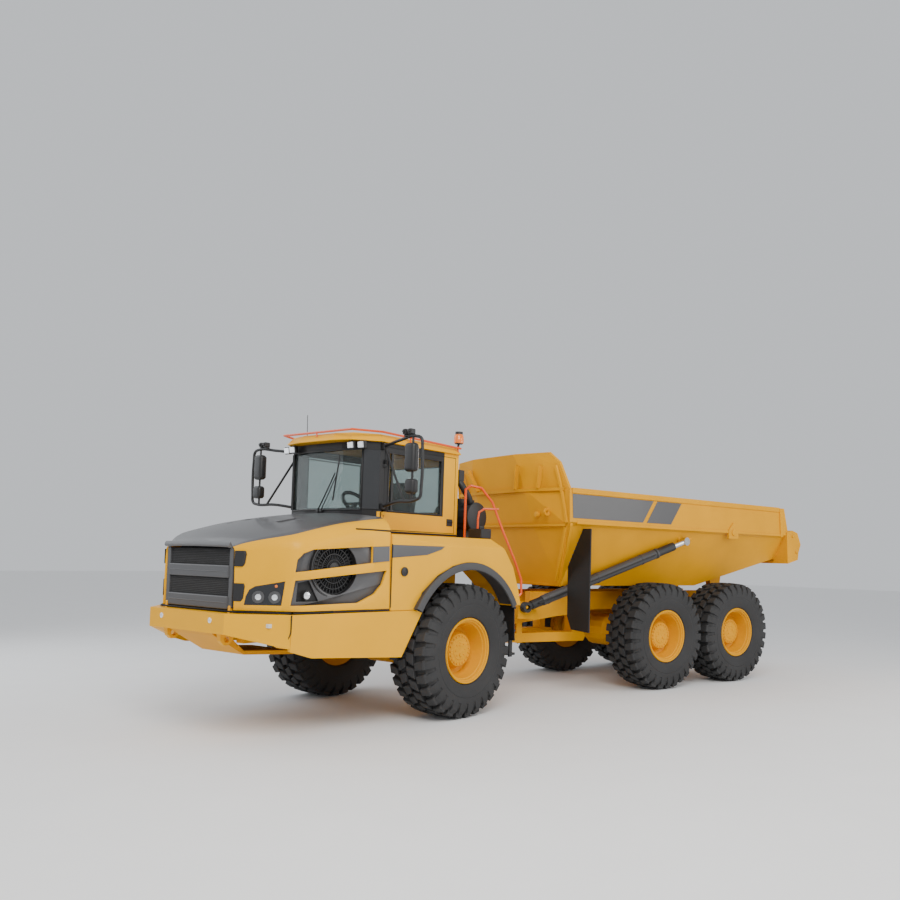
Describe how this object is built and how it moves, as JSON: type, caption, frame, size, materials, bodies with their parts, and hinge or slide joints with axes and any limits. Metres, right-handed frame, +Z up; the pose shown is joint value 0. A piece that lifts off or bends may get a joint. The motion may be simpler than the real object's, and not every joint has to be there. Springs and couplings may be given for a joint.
{
  "type": "articulated dump truck",
  "caption": "Articulated dump truck with a tipping open body, a bonneted front unit with cab, centre-pivot steering and large lugged tyres.",
  "frame": {"origin": "middle of the footprint at ground level, with the rear unit steered 15 degrees", "axes": "+Z up, -Y towards the front unit's nose, +X to the front unit's left side"},
  "size_m": [4.5008, 10.5458, 3.52],
  "materials": {
    "yellow_paint": "gloss machine yellow",
    "golden_paint": "satin golden yellow",
    "graphite_paint": "satin dark grey",
    "black_plastic": "matte",
    "tyre_rubber": "matte",
    "flap_rubber": "matte",
    "orange_paint": "gloss safety orange",
    "window_glass": "clear tinted",
    "plated_rod": "polished",
    "seat_fabric": "woven"
  },
  "bodies": {
    "root": {"air_cleaner": "black_plastic", "belly_plate": "golden_paint", "bumper": "yellow_paint", "cab_roof": "yellow_paint", "cab_shell": "yellow_paint", "dashboard": "black_plastic", "engine": "graphite_paint", "exhaust": "black_plastic", "fender_left": "yellow_paint", "fender_right": "yellow_paint", "front_axle": "golden_paint", "front_frame": "golden_paint", "handrail": "orange_paint", "ladder": "black_plastic", "mirror_left": "black_plastic", "mirror_right": "black_plastic", "radiator": "graphite_paint", "rear_deck": "yellow_paint", "rear_glass": "window_glass", "right_glass": "window_glass", "roof_rail": "orange_paint", "seat_back": "seat_fabric", "seat_cushion": "seat_fabric", "side_panel_left": "yellow_paint", "side_panel_right": "yellow_paint", "windscreen": "window_glass"},
    "hood": {"hood": "yellow_paint", "side_grille_left": "graphite_paint", "side_grille_right": "graphite_paint"},
    "grille": {"grille": "graphite_paint"},
    "cab_door": {"cab_door": "yellow_paint", "door_glass": "window_glass"},
    "hitch": {"hitch": "golden_paint"},
    "rear_unit": {"mid_axle": "golden_paint", "rear_axle": "golden_paint", "rear_frame": "golden_paint"},
    "bed": {"dump_body": "yellow_paint", "mudflap_left": "flap_rubber", "mudflap_right": "flap_rubber"},
    "hoist_barrel_left": {"hoist_barrel_left": "graphite_paint"},
    "hoist_barrel_right": {"hoist_barrel_right": "graphite_paint"},
    "hoist_rod_left": {"hoist_rod_left": "plated_rod"},
    "hoist_rod_right": {"hoist_rod_right": "plated_rod"},
    "wheel_front_left": {"rim_front_left": "golden_paint", "tyre_front_left": "tyre_rubber"},
    "wheel_front_right": {"rim_front_right": "golden_paint", "tyre_front_right": "tyre_rubber"},
    "wheel_mid_left": {"rim_mid_left": "golden_paint", "tyre_mid_left": "tyre_rubber"},
    "wheel_mid_right": {"rim_mid_right": "golden_paint", "tyre_mid_right": "tyre_rubber"},
    "wheel_rear_left": {"rim_rear_left": "golden_paint", "tyre_rear_left": "tyre_rubber"},
    "wheel_rear_right": {"rim_rear_right": "golden_paint", "tyre_rear_right": "tyre_rubber"},
    "steer_barrel_left": {"steer_barrel_left": "graphite_paint"},
    "steer_barrel_right": {"steer_barrel_right": "graphite_paint"},
    "steer_rod_left": {"steer_rod_left": "plated_rod"},
    "steer_rod_right": {"steer_rod_right": "plated_rod"}
  },
  "joints": [
    {"name": "steer", "type": "hinge", "parent": "root", "child": "hitch", "pos_m": [-0.73449, -1.28291, 0.98], "axis": [0, 0, 1], "range_deg": [-30, 60]},
    {"name": "roll", "type": "hinge", "parent": "hitch", "child": "rear_unit", "pos_m": [-0.73449, -1.28291, 0.98], "axis": [0.2588, 0.9659, 0], "range_deg": [-10, 10]},
    {"name": "tip", "type": "hinge", "parent": "rear_unit", "child": "bed", "pos_m": [0.59584, 3.68195, 1.36], "axis": [-0.9659, 0.2588, 0], "range_deg": [0, 74]},
    {"name": "hood_open", "type": "hinge", "parent": "root", "child": "hood", "pos_m": [-0.73449, -5.13791, 1.345], "axis": [1, 0, 0], "range_deg": [0, 60]},
    {"name": "grille_open", "type": "hinge", "parent": "root", "child": "grille", "pos_m": [-0.73449, -5.12291, 1.3105], "axis": [1, 0, 0], "range_deg": [0, 90]},
    {"name": "door_open", "type": "hinge", "parent": "root", "child": "cab_door", "pos_m": [0.02751, -3.31691, 2.19], "axis": [0, 0, -1], "range_deg": [0, 80]},
    {"name": "front_left_spin", "type": "hinge", "parent": "root", "child": "wheel_front_left", "pos_m": [0.39451, -2.49291, 0.79], "axis": [1, 0, 0], "continuous": true},
    {"name": "front_right_spin", "type": "hinge", "parent": "root", "child": "wheel_front_right", "pos_m": [-1.86349, -2.49291, 0.79], "axis": [1, 0, 0], "continuous": true},
    {"name": "mid_left_spin", "type": "hinge", "parent": "rear_unit", "child": "wheel_mid_left", "pos_m": [1.12344, 1.28885, 0.79], "axis": [0.9659, -0.2588, 0], "continuous": true},
    {"name": "mid_right_spin", "type": "hinge", "parent": "rear_unit", "child": "wheel_mid_right", "pos_m": [-1.05762, 1.87326, 0.79], "axis": [0.9659, -0.2588, 0], "continuous": true},
    {"name": "rear_left_spin", "type": "hinge", "parent": "rear_unit", "child": "wheel_rear_left", "pos_m": [1.55567, 2.90195, 0.79], "axis": [0.9659, -0.2588, 0], "continuous": true},
    {"name": "rear_right_spin", "type": "hinge", "parent": "rear_unit", "child": "wheel_rear_right", "pos_m": [-0.62539, 3.48636, 0.79], "axis": [0.9659, -0.2588, 0], "continuous": true},
    {"name": "hoist_left_swing", "type": "hinge", "parent": "rear_unit", "child": "hoist_barrel_left", "pos_m": [0.18666, -0.74292, 1.22], "axis": [0.3446, -0.4992, 0.795], "range_deg": [-0.5, 5.95]},
    {"name": "hoist_left_extend", "type": "slide", "parent": "hoist_barrel_left", "child": "hoist_rod_left", "axis": [0.4209, 0.8392, 0.3444], "range_m": [-0.01, 2.2841]},
    {"name": "hoist_right_swing", "type": "hinge", "parent": "rear_unit", "child": "hoist_barrel_right", "pos_m": [-1.26223, -0.35469, 1.22], "axis": [0.548, 0.26, -0.795], "range_deg": [-0.5, 5.95]},
    {"name": "hoist_right_extend", "type": "slide", "parent": "hoist_barrel_right", "child": "hoist_rod_right", "axis": [0.055, 0.9372, 0.3444], "range_m": [-0.01, 2.2841]},
    {"name": "steer_left_swing", "type": "hinge", "parent": "root", "child": "steer_barrel_left", "pos_m": [-0.11449, -2.31291, 1.04], "axis": [0, 0, 1], "range_deg": [-7.83, 15.15]},
    {"name": "steer_left_extend", "type": "slide", "parent": "steer_barrel_left", "child": "steer_rod_left", "axis": [-0.0531, 0.9986, 0], "range_m": [-0.2529, 0.5008]},
    {"name": "steer_right_swing", "type": "hinge", "parent": "root", "child": "steer_barrel_right", "pos_m": [-1.35449, -2.31291, 1.04], "axis": [0, 0, 1], "range_deg": [-7.03, 13.55]},
    {"name": "steer_right_extend", "type": "slide", "parent": "steer_barrel_right", "child": "steer_rod_right", "axis": [0.1794, 0.9838, 0], "range_m": [-0.5369, 0.2709]}
  ],
  "couplings": [
    {"joint": "hoist_left_swing", "follows": "tip", "ratio": 0.073692},
    {"joint": "hoist_left_extend", "follows": "tip", "m_per_rad": 1.7608},
    {"joint": "hoist_right_swing", "follows": "tip", "ratio": 0.073692},
    {"joint": "hoist_right_extend", "follows": "tip", "m_per_rad": 1.7608},
    {"joint": "steer_left_swing", "follows": "steer", "ratio": 0.24419},
    {"joint": "steer_left_extend", "follows": "steer", "m_per_rad": 0.47346},
    {"joint": "steer_right_swing", "follows": "steer", "ratio": 0.21758},
    {"joint": "steer_right_extend", "follows": "steer", "m_per_rad": -0.50791}
  ]
}
